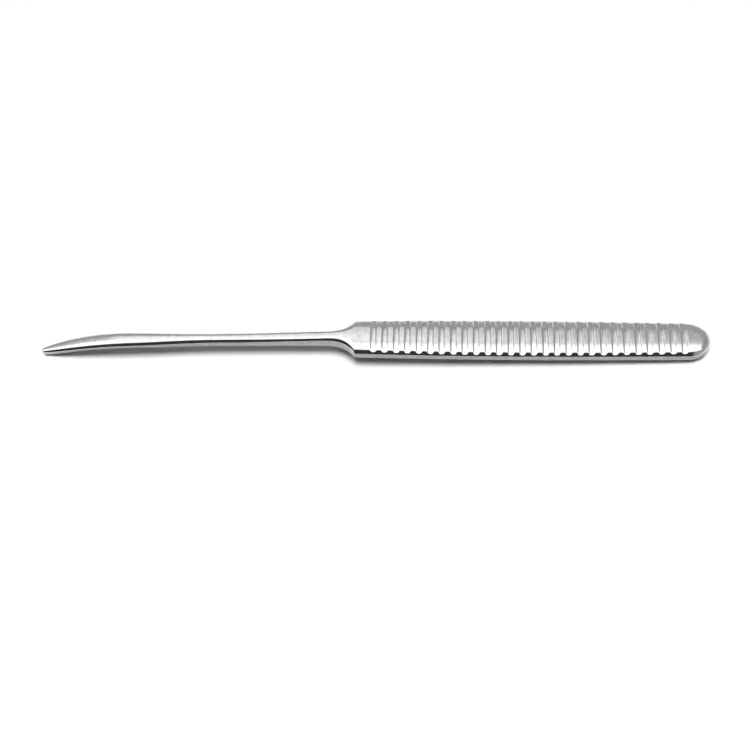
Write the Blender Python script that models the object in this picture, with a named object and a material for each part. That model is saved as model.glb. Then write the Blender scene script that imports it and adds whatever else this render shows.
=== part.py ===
"""Periosteal elevator: one stainless steel bar with a curved blade, a slim shank and a cross-grooved handle.

The bar is lofted along X from the blade's tip at X = 0 to the end of the handle. The grooves are cut across
both faces of the handle, and an empty then lays the bar down as it rests on a table, on its tip and on its
handle's end.
"""

import math

import bmesh
import bpy
from mathutils import Matrix, Vector

NAME = "periosteal_elevator"

# Lengths along the bar, in metres
TOTAL_LENGTH = 0.180
HANDLE_LENGTH = 0.0935
HANDLE_WIDEST_FROM_SHOULDER = 0.040
SHOULDER_LENGTH = 0.0102
BLADE_LENGTH = 0.049
BLADE_WIDEST_AT = 0.0218
BLADE_BLUNTED_BY = 0.0010

# Widths and thicknesses
BLADE_WIDTH = 0.0047
SHANK_WIDTH = 0.0034
NECK_WIDTH = 0.0036
SHOULDER_WIDTH = 0.0111
HANDLE_WIDTH = 0.0120
HANDLE_END_WIDTH = 0.0108
HANDLE_END_ROUNDING = 0.0060
TIP_DOME = 0.0011
TIP_UNDER = 0.0005
TIP_ROUNDING = 0.0014
DOME_POWER = 0.44
SHANK_THICKNESS = 0.0032
NECK_THICKNESS = 0.0041
HANDLE_THICKNESS = 0.0052

# Section shapes: 2 is an ellipse, and a larger power is squarer
BLADE_POWER = 2.3
ROUND_POWER = 2.0
NECK_POWER = 2.6
HANDLE_POWER = 2.4
SHOULDER_POWER = 3.6

# Bends, all downwards towards the tip
NECK_BEND = math.radians(1.6)
NECK_BEND_LENGTH = 0.014
BLADE_BEND_RADIUS = 0.0625
BLADE_BEND_LENGTH = 0.026

# Grooves, the same on both faces of the handle
GROOVE_COUNT = 28
GROOVE_PITCH = 0.00301
GROOVE_WIDTH = 0.00153
GROOVE_DEPTH = 0.00021
GROOVE_CROWN_RADIUS = 0.01375
FIRST_GROOVE_FROM_SHOULDER = 0.00503

# Facets
RING_POINTS = 24
BLADE_STATIONS = 12
SHANK_STATIONS = 6
SHOULDER_STATIONS = 9
HANDLE_STATIONS = 8
END_STATIONS = 7
GROOVE_TUBE_SEGMENTS = 32
GROOVE_CROWN_SEGMENTS = 40

STEEL_COLOUR = (0.74, 0.75, 0.75, 1.0)
STEEL_ROUGHNESS = 0.22

SHOULDER_AT = TOTAL_LENGTH - HANDLE_LENGTH
NECK_AT = SHOULDER_AT - SHOULDER_LENGTH
HANDLE_WIDEST_AT = SHOULDER_AT + HANDLE_WIDEST_FROM_SHOULDER


def ease(share):
    """0 to 1 with level ends."""
    share = min(max(share, 0.0), 1.0)
    return share * share * (3.0 - 2.0 * share)


def between(start, end, share):
    return start + (end - start) * share


def round_off(distance, length, power=ROUND_POWER):
    """The share of full size at a distance from a rounded end: 0 at the end, 1 from length onwards."""
    left = 1.0 - min(max(distance / length, 0.0), 1.0)
    return (1.0 - left**power) ** (1.0 / power)


def width_at(x):
    """The full width of the bar at x, seen from above."""
    if x < BLADE_WIDEST_AT:
        blade = round_off(x + BLADE_BLUNTED_BY, BLADE_WIDEST_AT + BLADE_BLUNTED_BY, BLADE_POWER)
        return BLADE_WIDTH * blade * round_off(x, TIP_ROUNDING)
    if x < BLADE_LENGTH:
        share = ease((x - BLADE_WIDEST_AT) / (BLADE_LENGTH - BLADE_WIDEST_AT))
        return between(BLADE_WIDTH, SHANK_WIDTH, share)
    if x < NECK_AT:
        share = ((x - BLADE_LENGTH) / (NECK_AT - BLADE_LENGTH)) ** 2
        return between(SHANK_WIDTH, NECK_WIDTH, share)
    if x < SHOULDER_AT:
        share = ((x - NECK_AT) / SHOULDER_LENGTH) ** SHOULDER_POWER
        return between(NECK_WIDTH, SHOULDER_WIDTH, share)
    if x < HANDLE_WIDEST_AT:
        share = ((HANDLE_WIDEST_AT - x) / HANDLE_WIDEST_FROM_SHOULDER) ** 2
        return between(HANDLE_WIDTH, SHOULDER_WIDTH, share)
    share = ((x - HANDLE_WIDEST_AT) / (TOTAL_LENGTH - HANDLE_WIDEST_AT)) ** 2
    width = between(HANDLE_WIDTH, HANDLE_END_WIDTH, share)
    return width * round_off(TOTAL_LENGTH - x, HANDLE_END_ROUNDING)


def heights_at(x):
    """How far the section reaches above and below its widest line at x, flatter below along the blade."""
    if x < BLADE_LENGTH:
        dome = math.sin(math.pi / 2 * x / BLADE_LENGTH) ** DOME_POWER
        above = between(TIP_DOME, SHANK_THICKNESS / 2, dome)
        below = between(TIP_UNDER, SHANK_THICKNESS / 2, ease(x / BLADE_LENGTH))
        nose = round_off(x, TIP_ROUNDING)
        return above * nose, below * nose
    if x < NECK_AT:
        share = ((x - BLADE_LENGTH) / (NECK_AT - BLADE_LENGTH)) ** 2
        half = between(SHANK_THICKNESS, NECK_THICKNESS, share) / 2
    else:
        half = between(NECK_THICKNESS, HANDLE_THICKNESS, ease((x - NECK_AT) / SHOULDER_LENGTH)) / 2
        half *= round_off(TOTAL_LENGTH - x, HANDLE_END_ROUNDING, HANDLE_POWER)
    return half, half


def power_at(x):
    """The power of the section's superellipse at x."""
    if x < NECK_AT:
        return between(ROUND_POWER, NECK_POWER, ease((x - BLADE_LENGTH) / (NECK_AT - BLADE_LENGTH)))
    return between(NECK_POWER, HANDLE_POWER, ease((x - NECK_AT) / SHOULDER_LENGTH))


def bend_drop(distance, length, angle):
    """(drop, slope) at a distance past the start of an arc that turns by angle over length."""
    if distance <= 0.0:
        return 0.0, 0.0
    turned = min(distance, length)
    slope = angle * turned / length
    return slope * turned / 2 + angle * (distance - turned), slope


def centre_at(x):
    """(height, slope) of the bar's centre line at x, level along the handle."""
    blade_bend = BLADE_BEND_LENGTH / BLADE_BEND_RADIUS
    neck_drop, neck_slope = bend_drop(SHOULDER_AT - x, NECK_BEND_LENGTH, NECK_BEND)
    blade_drop, blade_slope = bend_drop(BLADE_BEND_LENGTH - x, BLADE_BEND_LENGTH, blade_bend)
    return -(neck_drop + blade_drop), neck_slope + blade_slope


def signed_power(value, power):
    return math.copysign(abs(value) ** power, value)


def section_at(x):
    """The ring of points around the bar at x, square to its centre line."""
    half_width = width_at(x) / 2
    above, below = heights_at(x)
    shape = ROUND_POWER / power_at(x)
    height, slope = centre_at(x)
    along = Vector((math.cos(slope), 0.0, math.sin(slope)))
    upright = Vector((-along.z, 0.0, along.x))
    centre = Vector((x, 0.0, height))
    ring = []
    for k in range(RING_POINTS):
        angle = 2 * math.pi * (k + 0.5) / RING_POINTS
        across = half_width * signed_power(math.cos(angle), shape)
        rise = (above if angle < math.pi else below) * signed_power(math.sin(angle), shape)
        ring.append(centre + Vector((0.0, across, 0.0)) + upright * rise)
    return ring


def stations():
    """The places along X where the bar has a section, closer together where its outline turns."""
    handle_end_at = TOTAL_LENGTH - HANDLE_END_ROUNDING
    shoulder_turned = [math.sin(math.pi / 2 * k / SHOULDER_STATIONS) for k in range(SHOULDER_STATIONS)]
    end_turned = [math.sin(math.pi / 2 * k / END_STATIONS) for k in range(END_STATIONS)]
    blade = [BLADE_LENGTH * (k / BLADE_STATIONS) ** 2 for k in range(1, BLADE_STATIONS)]
    shank = [between(BLADE_LENGTH, NECK_AT, k / SHANK_STATIONS) for k in range(SHANK_STATIONS)]
    shoulder = [NECK_AT + SHOULDER_LENGTH * share for share in shoulder_turned]
    handle = [between(SHOULDER_AT, handle_end_at, k / HANDLE_STATIONS) for k in range(HANDLE_STATIONS)]
    handle_end = [handle_end_at + HANDLE_END_ROUNDING * share for share in end_turned]
    return blade + shank + shoulder + handle + handle_end


def loft(name, rings, first_point, last_point):
    """A closed skin over the rings, drawn in to one point at each end."""
    bm = bmesh.new()
    rows = [[bm.verts.new(point) for point in ring] for ring in rings]
    for row, following in zip(rows, rows[1:]):
        for k in range(len(row)):
            after = (k + 1) % len(row)
            bm.faces.new((row[k], row[after], following[after], following[k]))
    for row, end in ((rows[0], first_point), (rows[-1], last_point)):
        apex = bm.verts.new(end)
        for k in range(len(row)):
            bm.faces.new((row[k], row[(k + 1) % len(row)], apex))
    bmesh.ops.recalc_face_normals(bm, faces=bm.faces)
    mesh = bpy.data.meshes.new(name)
    bm.to_mesh(mesh)
    bm.free()
    return mesh


def steel():
    material = bpy.data.materials.new("stainless_steel")
    material.use_nodes = True
    shader = material.node_tree.nodes["Principled BSDF"]
    shader.inputs["Base Color"].default_value = STEEL_COLOUR
    shader.inputs["Metallic"].default_value = 1.0
    shader.inputs["Roughness"].default_value = STEEL_ROUGHNESS
    return material


def add_collection(name, parent):
    collection = bpy.data.collections.new(name)
    parent.children.link(collection)
    return collection


def groove_cutter_mesh():
    """A ring of round bar, standing across the handle, whose top cuts one groove with a curved floor."""
    tube = (GROOVE_WIDTH**2 / 4 + GROOVE_DEPTH**2) / (2 * GROOVE_DEPTH)
    bpy.ops.mesh.primitive_torus_add(
        major_segments=GROOVE_CROWN_SEGMENTS,
        minor_segments=GROOVE_TUBE_SEGMENTS,
        major_radius=GROOVE_CROWN_RADIUS + tube,
        minor_radius=tube,
    )
    ring = bpy.context.object
    mesh = ring.data
    mesh.transform(Matrix.Rotation(math.pi / 2, 4, "Y"))
    mesh.name = "groove_cutter"
    bpy.data.objects.remove(ring)
    return mesh


def add_groove_cutters(parent, frame):
    """One collection of cutters for each face, with a cutter at each groove."""
    mesh = groove_cutter_mesh()
    centre_height = HANDLE_THICKNESS / 2 - GROOVE_DEPTH - GROOVE_CROWN_RADIUS
    first_at = SHOULDER_AT + FIRST_GROOVE_FROM_SHOULDER
    faces = []
    for face, side in (("top", 1), ("under", -1)):
        cutters = add_collection(f"{face}_groove_cutters", parent)
        for k in range(GROOVE_COUNT):
            cutter = bpy.data.objects.new(f"{face}_groove_{k + 1:02d}", mesh)
            cutter.location = (first_at + k * GROOVE_PITCH, 0.0, side * centre_height)
            cutter.parent = frame
            cutter.hide_render = True
            cutter.display_type = "WIRE"
            cutters.objects.link(cutter)
        faces.append(cutters)
    return faces


def resting_matrix(points):
    """Lays the bar on the two places that touch a table, one on each half, centred over the origin."""
    middle = TOTAL_LENGTH / 2
    slope = 0.0
    for _ in range(6):
        blade_touch = min((p for p in points if p.x < middle), key=lambda p: p.z - slope * p.x)
        handle_touch = min((p for p in points if p.x > middle), key=lambda p: p.z - slope * p.x)
        slope = (handle_touch.z - blade_touch.z) / (handle_touch.x - blade_touch.x)
    level = Matrix.Rotation(math.atan(slope), 4, "Y")
    laid = [level @ p for p in points]
    middle_x = (min(p.x for p in laid) + max(p.x for p in laid)) / 2
    return Matrix.Translation((-middle_x, 0.0, -min(p.z for p in laid))) @ level


def clear_scene():
    for old in list(bpy.data.objects):
        bpy.data.objects.remove(old, do_unlink=True)


def main():
    clear_scene()
    root = bpy.context.scene.collection
    parts = add_collection(NAME + "_parts", root)
    cutting = add_collection("cutters", root)

    rings = [section_at(x) for x in stations()]
    tip = Vector((0.0, 0.0, centre_at(0.0)[0]))
    handle_end = Vector((TOTAL_LENGTH, 0.0, 0.0))
    frame = bpy.data.objects.new("resting_frame", None)
    parts.objects.link(frame)
    frame.matrix_world = resting_matrix([point for ring in rings for point in ring] + [tip, handle_end])

    bar = bpy.data.objects.new(NAME, loft(NAME, rings, tip, handle_end))
    bar.parent = frame
    bar.data.materials.append(steel())
    parts.objects.link(bar)
    for cutters in add_groove_cutters(cutting, frame):
        cut = bar.modifiers.new(cutters.name, "BOOLEAN")
        cut.operation = "DIFFERENCE"
        cut.solver = "EXACT"
        cut.operand_type = "COLLECTION"
        cut.collection = cutters
    bar.data.shade_smooth()
    bar.data.set_sharp_from_angle(angle=math.radians(30))


main()
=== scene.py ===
"""Periosteal elevator: a satin steel bar with a curved blade and a flat, grooved handle, on a table."""

import math

import bpy
import numpy as np
from mathutils import Matrix, Vector


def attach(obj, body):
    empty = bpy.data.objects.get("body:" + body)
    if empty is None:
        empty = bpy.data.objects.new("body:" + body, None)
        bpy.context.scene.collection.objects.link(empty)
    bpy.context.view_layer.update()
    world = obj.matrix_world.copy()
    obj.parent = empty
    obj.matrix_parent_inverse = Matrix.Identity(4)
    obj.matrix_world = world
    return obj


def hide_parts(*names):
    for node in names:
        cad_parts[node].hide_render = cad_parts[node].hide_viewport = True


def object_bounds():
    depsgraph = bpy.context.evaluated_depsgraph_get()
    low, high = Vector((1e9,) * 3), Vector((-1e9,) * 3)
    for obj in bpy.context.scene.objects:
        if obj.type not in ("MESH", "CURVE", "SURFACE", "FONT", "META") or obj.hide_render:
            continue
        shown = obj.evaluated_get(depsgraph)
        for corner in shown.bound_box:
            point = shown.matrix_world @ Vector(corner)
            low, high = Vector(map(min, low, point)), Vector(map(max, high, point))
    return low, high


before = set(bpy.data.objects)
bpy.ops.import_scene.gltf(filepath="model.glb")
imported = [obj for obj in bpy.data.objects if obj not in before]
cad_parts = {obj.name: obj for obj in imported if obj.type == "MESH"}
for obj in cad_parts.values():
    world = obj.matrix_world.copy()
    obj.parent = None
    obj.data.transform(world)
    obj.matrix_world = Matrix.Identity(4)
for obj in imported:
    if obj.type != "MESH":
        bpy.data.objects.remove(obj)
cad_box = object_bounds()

NAME = "periosteal_elevator"

# Lengths along the bar, in metres
TOTAL_LENGTH = 0.180
HANDLE_LENGTH = 0.0935
HANDLE_WIDEST_FROM_SHOULDER = 0.040
SHOULDER_LENGTH = 0.0102
BLADE_LENGTH = 0.049
BLADE_WIDEST_AT = 0.0218
BLADE_BLUNTED_BY = 0.0010

# Widths and thicknesses
BLADE_WIDTH = 0.0047
SHANK_WIDTH = 0.0034
NECK_WIDTH = 0.0036
SHOULDER_WIDTH = 0.0111
HANDLE_WIDTH = 0.0120
HANDLE_END_WIDTH = 0.0108
HANDLE_END_ROUNDING = 0.0060
TIP_DOME = 0.0011
TIP_UNDER = 0.0005
TIP_ROUNDING = 0.0014
DOME_POWER = 0.44
SHANK_THICKNESS = 0.0032
NECK_THICKNESS = 0.0041
HANDLE_THICKNESS = 0.0052

# Section shapes: 2 is an ellipse, a larger power is squarer and a smaller one leaner
BLADE_POWER = 2.3
ROUND_POWER = 2.0
NECK_POWER = 2.6
HANDLE_POWER = 2.4
SHOULDER_POWER = 3.6
UNDERSIDE_POWER = 1.6

# The widest line lies below mid-thickness by this share of the lower half
WIDEST_LINE_DROP = 0.16

# Bends, all downwards towards the tip
NECK_BEND = math.radians(1.6)
NECK_BEND_LENGTH = 0.014
BLADE_BEND_RADIUS = 0.0625
BLADE_BEND_LENGTH = 0.026

# Grooves, the same on both faces of the handle: each curves over the face, a little off its even place
GROOVE_COUNT = 28
GROOVE_PITCH = 0.00301
GROOVE_WIDTH = 0.00153
GROOVE_DEPTH = 0.00021
GROOVE_CROWN_RADIUS = 0.0117
GROOVE_FLOOR_POWER = 5.0
GROOVE_EDGE_SOFTNESS = 0.00005
GROOVE_HIGHEST_LIFT = GROOVE_CROWN_RADIUS / 4
GROOVE_WANDER = 0.00005
GROOVE_WANDER_TURN = 2.4
CLEAR_OF_THE_BAR = 1.0
FIRST_GROOVE_FROM_SHOULDER = 0.00503

# Facets: points around a section, and sections along each stretch of the bar
RING_POINTS = 112
BLADE_STATIONS = 60
SHANK_STATIONS = 16
SHOULDER_STATIONS = 40
PLAIN_STATIONS = 10
STATIONS_PER_PITCH = 18
LAST_PLAIN_STATIONS = 6
END_STATIONS = 36
LEAST_STEP = 0.00005

# Rounds of finding the two points that the bar rests on
LAYING_ROUNDS = 6

# Finish: the sides and the underside are duller, and their colour is darkened as painted shade, fully where
# the surface faces up by less than the first angle in degrees, and not at all above the second
SIDE_WALL_BELOW = (18.0, 30.0)
TOP_ROUGHNESS = 0.10
SIDE_ROUGHNESS = 0.34
STEEL_COLOUR = (0.60, 0.605, 0.605, 1.0)
# Painted shade: the colour of the sides and the underside is multiplied by this, darker as if they mirrored
# the shadowed table
SIDE_PAINTED_SHADE = 0.62
STROKES_PER_METRE = (2600.0, 130.0, 400.0)
STROKES_DETAIL = 1.0
PATCHES_PER_METRE = 620.0
GRAIN_PER_METRE = 1900.0
FINE_DETAIL = 2.0
STROKES_IN_TONE = 0.45
PATCHES_IN_TONE = 0.55
TONE_NOISE = (0.30, 0.70)
TONE_RANGE = (0.86, 1.12)
GLOSS_NOISE = (0.25, 0.75)
GLOSS_RANGE = (0.75, 1.25)
GRAIN_IN_BRUSHING = 0.4
BRUSHING_DEPTH = 0.0000012

# Camera
CAMERA_AZIMUTH = math.radians(7.19)
CAMERA_ELEVATION = math.radians(57.12)
CAMERA_ROLL = math.radians(-6.45)
CAMERA_DISTANCE = 0.3046
CAMERA_TARGET = Vector((0.00193, -0.00812, 0.0))
CAMERA_LENS = 54.95
CAMERA_SENSOR = 36.0
CAMERA_CLIP_START = 0.01

# The studio that the steel mirrors. A pair is where a change starts and ends: FRONT, BACK, FALL, TOP and
# OVER in degrees over the bar from the horizon on the camera's side, and the others in the direction's x.
# LEVELS and SHARES are the values at those two places.
CEILING_LEVEL = 1.9
CEILING_FRONT = (52.0, 57.0)
CEILING_BACK = (88.0, 124.0)
CEILING_TO_RIGHT = (0.70, 0.88)
WALL_FRONT = (90.0, 108.0)
WALL_FALL = (112.0, 148.0)
WALL_LEVELS = (1.50, 0.80)
WALL_TOP = (138.0, 156.0)
WALL_LEFT_TO_RIGHT = (-0.05, 0.25)
WALL_SHARES = (1.0, 0.52)
WALL_LEFT = (-0.48, -0.34)
WALL_LEFT_SHARE = 0.58
LEFT_PANEL_LEVEL = 1.7
LEFT_PANEL_BACK = (92.0, 140.0)
LEFT_PANEL_FROM = (-0.30, -0.06)
LEFT_PANEL_TO = (-0.66, -0.36)
ROOM_LEVEL = 0.46
DARK_LEVEL = 0.05
RIGHT_LEVEL = 0.36
RIGHT_FROM = (0.54, 0.84)
RIGHT_OVER = (62.0, 88.0)
END_LEVEL = 0.52
END_FROM = (0.76, 0.92)
LOW_RIGHT_LEVEL = 0.45
LOW_RIGHT_FROM = (0.36, 0.56)

# Soft boxes over the table, which light it and cast the shadows: the half span of each as the table sees it,
# in degrees, and its share of the table's light
SOFT_BOX_HEIGHT = 3.0
SOFT_BOX_LEAN = math.radians(-10.0)
SOFT_BOXES = {"strip": (12.0, 0.82), "bank": (30.0, 0.14), "fill": (63.0, 0.04)}
TABLE_LIGHT = 1.15

# Table and backdrop
TABLE_RADIUS = 1.25
TABLE_RIM_POINTS = 96
TABLE_COLOUR = (0.62, 0.62, 0.612, 1.0)
TABLE_ROUGHNESS = 0.4
TABLE_SPECULAR = 0.15
BACKDROP_SEGMENTS = 96
BACKDROP_COLOUR = (0.94, 0.94, 0.935, 1.0)

WHITE = (1.0, 1.0, 1.0, 1.0)
BLACK = (0.0, 0.0, 0.0, 1.0)

SHOULDER_AT = TOTAL_LENGTH - HANDLE_LENGTH
NECK_AT = SHOULDER_AT - SHOULDER_LENGTH
HANDLE_WIDEST_AT = SHOULDER_AT + HANDLE_WIDEST_FROM_SHOULDER
FIRST_GROOVE_AT = SHOULDER_AT + FIRST_GROOVE_FROM_SHOULDER

# The directions of the points around a section
RING_ANGLES = 2 * math.pi * (np.arange(RING_POINTS) + 0.5) / RING_POINTS
RING_COSINES = np.cos(RING_ANGLES)
RING_SINES = np.sin(RING_ANGLES)
RING_UPPER = RING_SINES > 0


def ease(share):
    """0 to 1 with level ends."""
    share = np.clip(share, 0.0, 1.0)
    return share * share * (3.0 - 2.0 * share)


def between(start, end, share):
    return start + (end - start) * share


def round_off(distance, length, power=ROUND_POWER):
    """The share of full size at a distance from a rounded end: 0 at the end, 1 from length onwards."""
    left = 1.0 - min(max(distance / length, 0.0), 1.0)
    return (1.0 - left**power) ** (1.0 / power)


def width_at(x):
    """The full width of the bar at x, seen from above."""
    if x < BLADE_WIDEST_AT:
        blade = round_off(x + BLADE_BLUNTED_BY, BLADE_WIDEST_AT + BLADE_BLUNTED_BY, BLADE_POWER)
        return BLADE_WIDTH * blade * round_off(x, TIP_ROUNDING)
    if x < BLADE_LENGTH:
        share = ease((x - BLADE_WIDEST_AT) / (BLADE_LENGTH - BLADE_WIDEST_AT))
        return between(BLADE_WIDTH, SHANK_WIDTH, share)
    if x < NECK_AT:
        share = ((x - BLADE_LENGTH) / (NECK_AT - BLADE_LENGTH)) ** 2
        return between(SHANK_WIDTH, NECK_WIDTH, share)
    if x < SHOULDER_AT:
        share = ((x - NECK_AT) / SHOULDER_LENGTH) ** SHOULDER_POWER
        return between(NECK_WIDTH, SHOULDER_WIDTH, share)
    if x < HANDLE_WIDEST_AT:
        share = ((HANDLE_WIDEST_AT - x) / HANDLE_WIDEST_FROM_SHOULDER) ** 2
        return between(HANDLE_WIDTH, SHOULDER_WIDTH, share)
    share = ((x - HANDLE_WIDEST_AT) / (TOTAL_LENGTH - HANDLE_WIDEST_AT)) ** 2
    width = between(HANDLE_WIDTH, HANDLE_END_WIDTH, share)
    return width * round_off(TOTAL_LENGTH - x, HANDLE_END_ROUNDING)


def heights_at(x):
    """How far the section reaches above and below mid-thickness at x, flatter below along the blade."""
    if x < BLADE_LENGTH:
        dome = math.sin(math.pi / 2 * x / BLADE_LENGTH) ** DOME_POWER
        above = between(TIP_DOME, SHANK_THICKNESS / 2, dome)
        below = between(TIP_UNDER, SHANK_THICKNESS / 2, ease(x / BLADE_LENGTH))
        nose = round_off(x, TIP_ROUNDING)
        return above * nose, below * nose
    if x < NECK_AT:
        share = ((x - BLADE_LENGTH) / (NECK_AT - BLADE_LENGTH)) ** 2
        half = between(SHANK_THICKNESS, NECK_THICKNESS, share) / 2
    else:
        half = between(NECK_THICKNESS, HANDLE_THICKNESS, ease((x - NECK_AT) / SHOULDER_LENGTH)) / 2
        half *= round_off(TOTAL_LENGTH - x, HANDLE_END_ROUNDING, HANDLE_POWER)
    return half, half


def reaches_at(x):
    """The reach above and below the widest line at x, and how far that line lies below mid-thickness."""
    above, below = heights_at(x)
    drop = WIDEST_LINE_DROP * below
    return above + drop, below - drop, drop


def power_at(x):
    """The power of the section's upper curve at x."""
    if x < NECK_AT:
        return between(ROUND_POWER, NECK_POWER, ease((x - BLADE_LENGTH) / (NECK_AT - BLADE_LENGTH)))
    return between(NECK_POWER, HANDLE_POWER, ease((x - NECK_AT) / SHOULDER_LENGTH))


def bend_drop(distance, length, angle):
    """(drop, slope) at a distance past the start of an arc that turns by angle over length."""
    if distance <= 0.0:
        return 0.0, 0.0
    turned = min(distance, length)
    slope = angle * turned / length
    return slope * turned / 2 + angle * (distance - turned), slope


def centre_at(x):
    """(height, slope) of the bar's centre line at x, level along the handle."""
    neck_drop, neck_slope = bend_drop(SHOULDER_AT - x, NECK_BEND_LENGTH, NECK_BEND)
    blade_bend = BLADE_BEND_LENGTH / BLADE_BEND_RADIUS
    blade_drop, blade_slope = bend_drop(BLADE_BEND_LENGTH - x, BLADE_BEND_LENGTH, blade_bend)
    return -(neck_drop + blade_drop), neck_slope + blade_slope


def groove_surface(across, x):
    """How far from mid-thickness the nearest groove's surface is at x, clear of the bar between grooves."""
    number = round((x - FIRST_GROOVE_AT) / GROOVE_PITCH)
    number = min(max(number, 0), GROOVE_COUNT - 1)
    along = x - (FIRST_GROOVE_AT + number * GROOVE_PITCH)
    along += GROOVE_WANDER * math.sin(GROOVE_WANDER_TURN * number)
    lift = GROOVE_DEPTH * (2 * abs(along) / GROOVE_WIDTH) ** GROOVE_FLOOR_POWER
    if lift > GROOVE_HIGHEST_LIFT:
        return np.full_like(across, CLEAR_OF_THE_BAR)
    reach = GROOVE_CROWN_RADIUS + lift
    crown_centre = HANDLE_THICKNESS / 2 - GROOVE_DEPTH - GROOVE_CROWN_RADIUS
    return crown_centre + np.sqrt(reach**2 - across**2)


def soft_min(first, second, softness):
    """The smaller of two heights, with the corner where they cross rounded off."""
    near = np.clip(0.5 + 0.5 * (second - first) / softness, 0.0, 1.0)
    return second + (first - second) * near - softness * near * (1.0 - near)


def section_at(x):
    """The ring of points around the bar at x, square to its centre line."""
    half_width = width_at(x) / 2
    above, below, drop = reaches_at(x)
    height, slope = centre_at(x)
    shape = 2.0 / np.where(RING_UPPER, power_at(x), UNDERSIDE_POWER)
    across = half_width * np.sign(RING_COSINES) * np.abs(RING_COSINES) ** shape
    rise = np.where(RING_UPPER, above, -below) * np.abs(RING_SINES) ** shape - drop
    if x > SHOULDER_AT:
        groove = groove_surface(across, x)
        top = soft_min(rise, groove, GROOVE_EDGE_SOFTNESS)
        underside = -soft_min(-rise, groove, GROOVE_EDGE_SOFTNESS)
        rise = np.where(RING_UPPER, top, underside)
    return np.column_stack((x - math.sin(slope) * rise, across, height + math.cos(slope) * rise))


def side_walls(x):
    """How far each point of the ring at x has the duller finish and the painted shade, 0 to 1, by how far up
    it faces.
    """
    half_width = width_at(x) / 2
    above, below, _ = reaches_at(x)
    power = power_at(x)
    outwards = (np.abs(RING_COSINES) ** (2.0 / power)) ** (power - 1.0) / half_width
    reach = np.where(RING_UPPER, above, below)
    upwards = np.sign(RING_SINES) * (np.abs(RING_SINES) ** (2.0 / power)) ** (power - 1.0) / reach
    faces_up = np.degrees(np.arctan2(upwards, outwards))
    full, none = SIDE_WALL_BELOW
    return ease((none - faces_up) / (none - full))


def quarter_turn(count):
    """Shares from 0 to 1 that crowd towards 1, as on a quarter of a circle."""
    return [math.sin(math.pi / 2 * k / count) for k in range(count + 1)]


def stations():
    """The places along X with a section, closer together where the outline turns and over the grooves."""
    blade = [BLADE_LENGTH * (k / BLADE_STATIONS) ** 2 for k in range(1, BLADE_STATIONS)]
    shank = list(np.linspace(BLADE_LENGTH, NECK_AT, SHANK_STATIONS, endpoint=False))
    shoulder = [NECK_AT + SHOULDER_LENGTH * share for share in quarter_turn(SHOULDER_STATIONS)]
    first = FIRST_GROOVE_AT - GROOVE_PITCH / 2
    last = first + GROOVE_COUNT * GROOVE_PITCH
    plain = list(np.linspace(SHOULDER_AT, first, PLAIN_STATIONS)[1:-1])
    grooved = list(np.linspace(first, last, GROOVE_COUNT * STATIONS_PER_PITCH + 1))
    end_at = TOTAL_LENGTH - HANDLE_END_ROUNDING
    last_plain = []
    if last < end_at:
        last_plain = list(np.linspace(last, end_at, LAST_PLAIN_STATIONS)[1:-1])
    start = max(last, end_at) + LEAST_STEP
    rounded = [end_at + HANDLE_END_ROUNDING * share for share in quarter_turn(END_STATIONS)[1:-1]]
    rounded = [x for x in rounded if x > start]
    return blade + shank + shoulder + plain + grooved + last_plain + rounded


def resting_points(points):
    """Lays the bar on its tip and its handle's end, and fits it to the frame's own box."""
    slope = 0.0
    blade = points[points[:, 0] < TOTAL_LENGTH / 2]
    handle = points[points[:, 0] > TOTAL_LENGTH / 2]
    for _ in range(LAYING_ROUNDS):
        front = blade[np.argmin(blade[:, 2] - slope * blade[:, 0])]
        back = handle[np.argmin(handle[:, 2] - slope * handle[:, 0])]
        slope = (back[2] - front[2]) / (back[0] - front[0])
    tilt = math.atan(slope)
    laid = points.copy()
    laid[:, 0] = math.cos(tilt) * points[:, 0] + math.sin(tilt) * points[:, 2]
    laid[:, 2] = -math.sin(tilt) * points[:, 0] + math.cos(tilt) * points[:, 2]
    low, high = laid.min(0), laid.max(0)
    box_low, box_high = np.array(cad_box[0]), np.array(cad_box[1])
    return box_low + (laid - low) * (box_high - box_low) / (high - low)


def ring_faces(rings):
    """The faces that join the rings one to the next, and those that close them to the two end points."""
    faces = []
    for row in range(rings - 1):
        here = row * RING_POINTS
        there = here + RING_POINTS
        for k in range(RING_POINTS):
            after = (k + 1) % RING_POINTS
            faces.append((here + k, here + after, there + after, there + k))
    last = (rings - 1) * RING_POINTS
    tip = rings * RING_POINTS
    end = tip + 1
    for k in range(RING_POINTS):
        after = (k + 1) % RING_POINTS
        faces.append((tip, after, k))
        faces.append((end, last + k, last + after))
    return faces


def build_bar():
    """The whole bar as one closed, finely faceted mesh."""
    places = stations()
    rings = [section_at(x) for x in places]
    tip = np.array([[0.0, 0.0, centre_at(0.0)[0]]])
    end = np.array([[TOTAL_LENGTH, 0.0, 0.0]])
    points = resting_points(np.vstack(rings + [tip, end]))
    mesh = bpy.data.meshes.new("elevator_bar")
    mesh.from_pydata([tuple(point) for point in points], [], ring_faces(len(rings)))
    mesh.shade_smooth()
    # Each point's share of the duller finish and of the painted shade that darkens the sides and the
    # underside
    side = mesh.attributes.new("side_wall", "FLOAT", "POINT")
    side.data.foreach_set("value", np.concatenate([side_walls(x) for x in places] + [np.ones(2)]))
    bar = bpy.data.objects.new("elevator_bar", mesh)
    bpy.context.scene.collection.objects.link(bar)
    return bar


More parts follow.
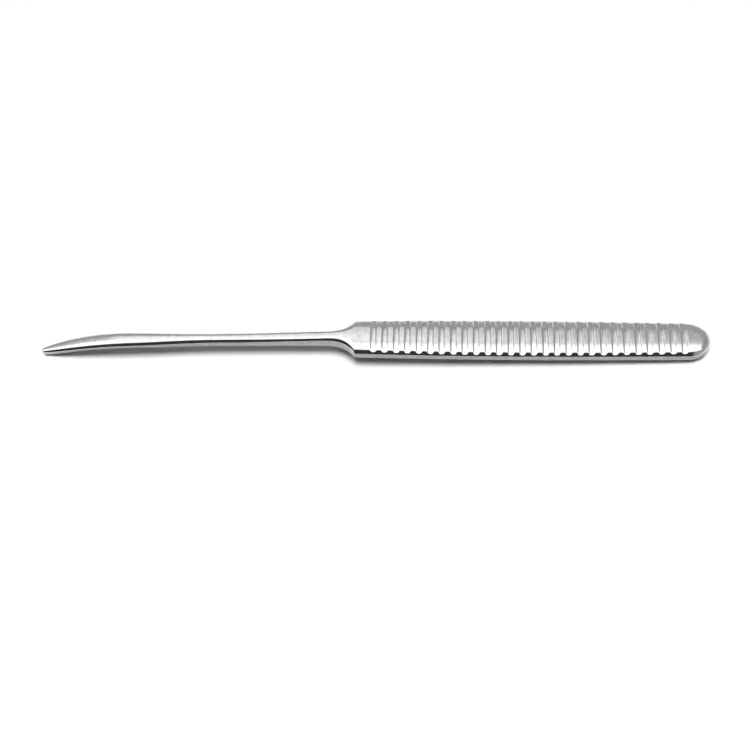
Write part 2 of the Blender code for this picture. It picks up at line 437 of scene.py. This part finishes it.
class Sums:
    """Small arithmetic on node sockets."""

    def __init__(self, tree):
        self.nodes = tree.nodes
        self.links = tree.links

    def put(self, value, socket):
        if isinstance(value, (int, float)):
            socket.default_value = value
        else:
            self.links.new(value, socket)

    def math(self, operation, *values):
        node = self.nodes.new("ShaderNodeMath")
        node.operation = operation
        for value, socket in zip(values, node.inputs):
            self.put(value, socket)
        return node.outputs[0]

    def times(self, *values):
        """All the values multiplied, from the first to the last."""
        product = values[0]
        for value in values[1:]:
            product = self.math("MULTIPLY", product, value)
        return product

    def mix(self, share, first, last):
        """first where the share is 0, last where it is 1."""
        return self.math("ADD", first, self.times(share, self.math("SUBTRACT", last, first)))

    def ramp(self, value, start, end, first, last, kind="LINEAR"):
        """first up to start, last from end on, and a straight ramp between."""
        node = self.nodes.new("ShaderNodeMapRange")
        node.interpolation_type = kind
        for value, socket in zip((value, start, end, first, last), node.inputs):
            self.put(value, socket)
        return node.outputs[0]

    def fade(self, value, start, end, first, last):
        """The same with a smooth step between."""
        return self.ramp(value, start, end, first, last, "SMOOTHSTEP")

    def noise(self, place, scale, detail):
        """Noise with scale features to the metre along each axis."""
        stretch = self.nodes.new("ShaderNodeMapping")
        stretch.inputs["Scale"].default_value = scale
        self.links.new(place, stretch.inputs["Vector"])
        node = self.nodes.new("ShaderNodeTexNoise")
        node.inputs["Scale"].default_value = 1.0
        node.inputs["Detail"].default_value = detail
        self.links.new(stretch.outputs[0], node.inputs["Vector"])
        return node.outputs["Fac"]


def plain_material(name):
    """(material, its shader's inputs) of a new material."""
    material = bpy.data.materials.new(name)
    material.use_nodes = True
    return material, material.node_tree.nodes["Principled BSDF"].inputs


def satin_steel():
    """Satin-polished stainless steel, brushed across the bar, duller on its sides and underside, with
    painted shade darkening their colour.
    """
    material, shader = plain_material("satin_steel")
    nodes, links = material.node_tree.nodes, material.node_tree.links
    sums = Sums(material.node_tree)
    attribute = nodes.new("ShaderNodeAttribute")
    attribute.attribute_name = "side_wall"
    side = attribute.outputs["Fac"]
    place = nodes.new("ShaderNodeTexCoord").outputs["Object"]
    strokes = sums.noise(place, STROKES_PER_METRE, STROKES_DETAIL)
    grain = sums.noise(place, (GRAIN_PER_METRE,) * 3, FINE_DETAIL)
    patches = sums.noise(place, (PATCHES_PER_METRE,) * 3, FINE_DETAIL)

    # Long faint strokes and soft patches vary the tone, and painted shade darkens the sides and the
    # underside
    tone = sums.math("ADD", sums.times(strokes, STROKES_IN_TONE), sums.times(patches, PATCHES_IN_TONE))
    shade = sums.times(
        sums.ramp(tone, *TONE_NOISE, *TONE_RANGE),
        sums.ramp(side, 0.0, 1.0, 1.0, SIDE_PAINTED_SHADE),
    )
    colour = nodes.new("ShaderNodeVectorMath")
    colour.operation = "SCALE"
    colour.inputs[0].default_value = STEEL_COLOUR[:3]
    links.new(shade, colour.inputs["Scale"])
    links.new(colour.outputs[0], shader["Base Color"])

    # A fine even grain varies the gloss
    roughness = sums.times(
        sums.ramp(side, 0.0, 1.0, TOP_ROUGHNESS, SIDE_ROUGHNESS),
        sums.ramp(grain, *GLOSS_NOISE, *GLOSS_RANGE),
    )
    links.new(roughness, shader["Roughness"])
    shader["Metallic"].default_value = 1.0

    # Strokes and grain together are the depth of the brushing
    bump = nodes.new("ShaderNodeBump")
    bump.inputs["Strength"].default_value = 1.0
    bump.inputs["Distance"].default_value = BRUSHING_DEPTH
    height = sums.math("ADD", strokes, sums.times(grain, GRAIN_IN_BRUSHING))
    links.new(height, bump.inputs["Height"])
    links.new(bump.outputs["Normal"], shader["Normal"])
    return material


def world_light():
    """A studio: a bright ceiling light, a grey wall behind and a dark room on the camera's side."""
    world = bpy.data.worlds.new("studio")
    bpy.context.scene.world = world
    world.use_nodes = True
    sums = Sums(world.node_tree)
    where = sums.nodes.new("ShaderNodeTexCoord")
    split = sums.nodes.new("ShaderNodeSeparateXYZ")
    sums.links.new(where.outputs["Generated"], split.inputs[0])
    x, y, z = split.outputs
    over = sums.times(sums.math("ARCTAN2", z, sums.times(y, -1.0)), 180 / math.pi)
    above_dark = sums.fade(over, *CEILING_FRONT, 0.0, 1.0)
    below_top = sums.fade(over, *WALL_TOP, 1.0, 0.0)

    ceiling = sums.times(
        above_dark,
        sums.fade(over, *CEILING_BACK, CEILING_LEVEL, 0.0),
        sums.fade(x, *CEILING_TO_RIGHT, 1.0, 0.0),
    )
    wall = sums.times(
        sums.fade(over, *WALL_FRONT, 0.0, 1.0),
        sums.ramp(over, *WALL_FALL, *WALL_LEVELS),
        sums.ramp(x, *WALL_LEFT_TO_RIGHT, *WALL_SHARES),
        sums.fade(x, *WALL_LEFT, WALL_LEFT_SHARE, 1.0),
        below_top,
    )
    left_panel = sums.times(
        above_dark,
        sums.fade(over, *LEFT_PANEL_BACK, LEFT_PANEL_LEVEL, 0.0),
        sums.fade(x, *LEFT_PANEL_FROM, 1.0, 0.0),
        sums.fade(x, *LEFT_PANEL_TO, 0.0, 1.0),
    )
    total = sums.times(above_dark, ROOM_LEVEL)
    for part in (ceiling, wall, left_panel):
        total = sums.math("MAXIMUM", total, part)
    total = sums.math("ADD", total, DARK_LEVEL)

    right = sums.times(
        sums.fade(x, *RIGHT_FROM, 0.0, 1.0),
        sums.fade(over, *RIGHT_OVER, 0.0, 1.0),
        below_top,
    )
    end = sums.times(
        sums.fade(x, *END_FROM, 0.0, 1.0),
        below_top,
    )
    low_right = sums.times(
        sums.fade(x, *LOW_RIGHT_FROM, 0.0, 1.0),
        sums.math("SUBTRACT", 1.0, above_dark),
    )
    total = sums.mix(right, total, RIGHT_LEVEL)
    total = sums.mix(end, total, END_LEVEL)
    total = sums.mix(low_right, total, LOW_RIGHT_LEVEL)
    background = sums.nodes["Background"]
    background.inputs["Color"].default_value = WHITE
    sums.links.new(total, background.inputs["Strength"])
    world.cycles_visibility.diffuse = False


def soft_boxes():
    """Square lamps over the table, left out of the steel's reflections, which show the studio instead."""
    for name, (half_span, share) in SOFT_BOXES.items():
        reach = math.tan(math.radians(half_span))
        # The part of the light on a level spot that comes from a square of this reach straight above it
        seen = reach / math.sqrt(1.0 + reach**2)
        view_factor = 4.0 / math.pi * seen * math.atan(seen)
        radiance = TABLE_LIGHT * share / (TABLE_COLOUR[0] * view_factor)
        data = bpy.data.lights.new("soft_box_" + name, "AREA")
        data.shape = "SQUARE"
        data.size = 2.0 * reach * SOFT_BOX_HEIGHT
        data.energy = radiance * math.pi * data.size**2
        lamp = bpy.data.objects.new("soft_box_" + name, data)
        lamp.location = (0.0, SOFT_BOX_HEIGHT * math.sin(SOFT_BOX_LEAN), SOFT_BOX_HEIGHT)
        lamp.visible_glossy = False
        lamp.visible_camera = False
        bpy.context.scene.collection.objects.link(lamp)


def table():
    """A round white table."""
    turns = [2 * math.pi * k / TABLE_RIM_POINTS for k in range(TABLE_RIM_POINTS)]
    rim = [(TABLE_RADIUS * math.cos(turn), TABLE_RADIUS * math.sin(turn), 0.0) for turn in turns]
    mesh = bpy.data.meshes.new("table")
    mesh.from_pydata(rim, [], [tuple(range(TABLE_RIM_POINTS))])
    top = bpy.data.objects.new("table", mesh)
    bpy.context.scene.collection.objects.link(top)
    material, shader = plain_material("white_table")
    shader["Base Color"].default_value = TABLE_COLOUR
    shader["Roughness"].default_value = TABLE_ROUGHNESS
    shader["Specular IOR Level"].default_value = TABLE_SPECULAR
    mesh.materials.append(material)


def backdrop():
    """A pale dome behind the table for low views. It lights nothing, and the steel doesn't mirror it."""
    bpy.ops.mesh.primitive_uv_sphere_add(
        segments=BACKDROP_SEGMENTS,
        ring_count=BACKDROP_SEGMENTS // 2,
        radius=TABLE_RADIUS,
    )
    dome = bpy.context.object
    dome.name = "backdrop"
    dome.data.shade_smooth()
    material, shader = plain_material("pale_backdrop")
    shader["Base Color"].default_value = BLACK
    shader["Specular IOR Level"].default_value = 0.0
    shader["Emission Color"].default_value = BACKDROP_COLOUR
    shader["Emission Strength"].default_value = 1.0
    dome.data.materials.append(material)
    dome.visible_diffuse = False
    dome.visible_glossy = False
    dome.visible_shadow = False


def camera():
    """The photo's camera, turned a little about its own axis."""
    back = Vector((
        math.sin(CAMERA_AZIMUTH) * math.cos(CAMERA_ELEVATION),
        -math.cos(CAMERA_AZIMUTH) * math.cos(CAMERA_ELEVATION),
        math.sin(CAMERA_ELEVATION),
    ))
    level_right = Vector((math.cos(CAMERA_AZIMUTH), math.sin(CAMERA_AZIMUTH), 0.0))
    level_up = back.cross(level_right)
    right = math.cos(CAMERA_ROLL) * level_right + math.sin(CAMERA_ROLL) * level_up
    up = back.cross(right)
    turned = Matrix((right, up, back)).transposed().to_4x4()
    lens = bpy.data.cameras.new("camera")
    lens.lens = CAMERA_LENS
    lens.sensor_width = CAMERA_SENSOR
    lens.clip_start = CAMERA_CLIP_START
    holder = bpy.data.objects.new("camera", lens)
    holder.matrix_world = Matrix.Translation(CAMERA_TARGET + back * CAMERA_DISTANCE) @ turned
    bpy.context.scene.collection.objects.link(holder)
    bpy.context.scene.camera = holder


bar = build_bar()
bar.data.materials.append(satin_steel())
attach(bar, "root")
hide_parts(NAME)
table()
backdrop()
world_light()
soft_boxes()
camera()
bpy.context.scene.view_settings.view_transform = "Standard"
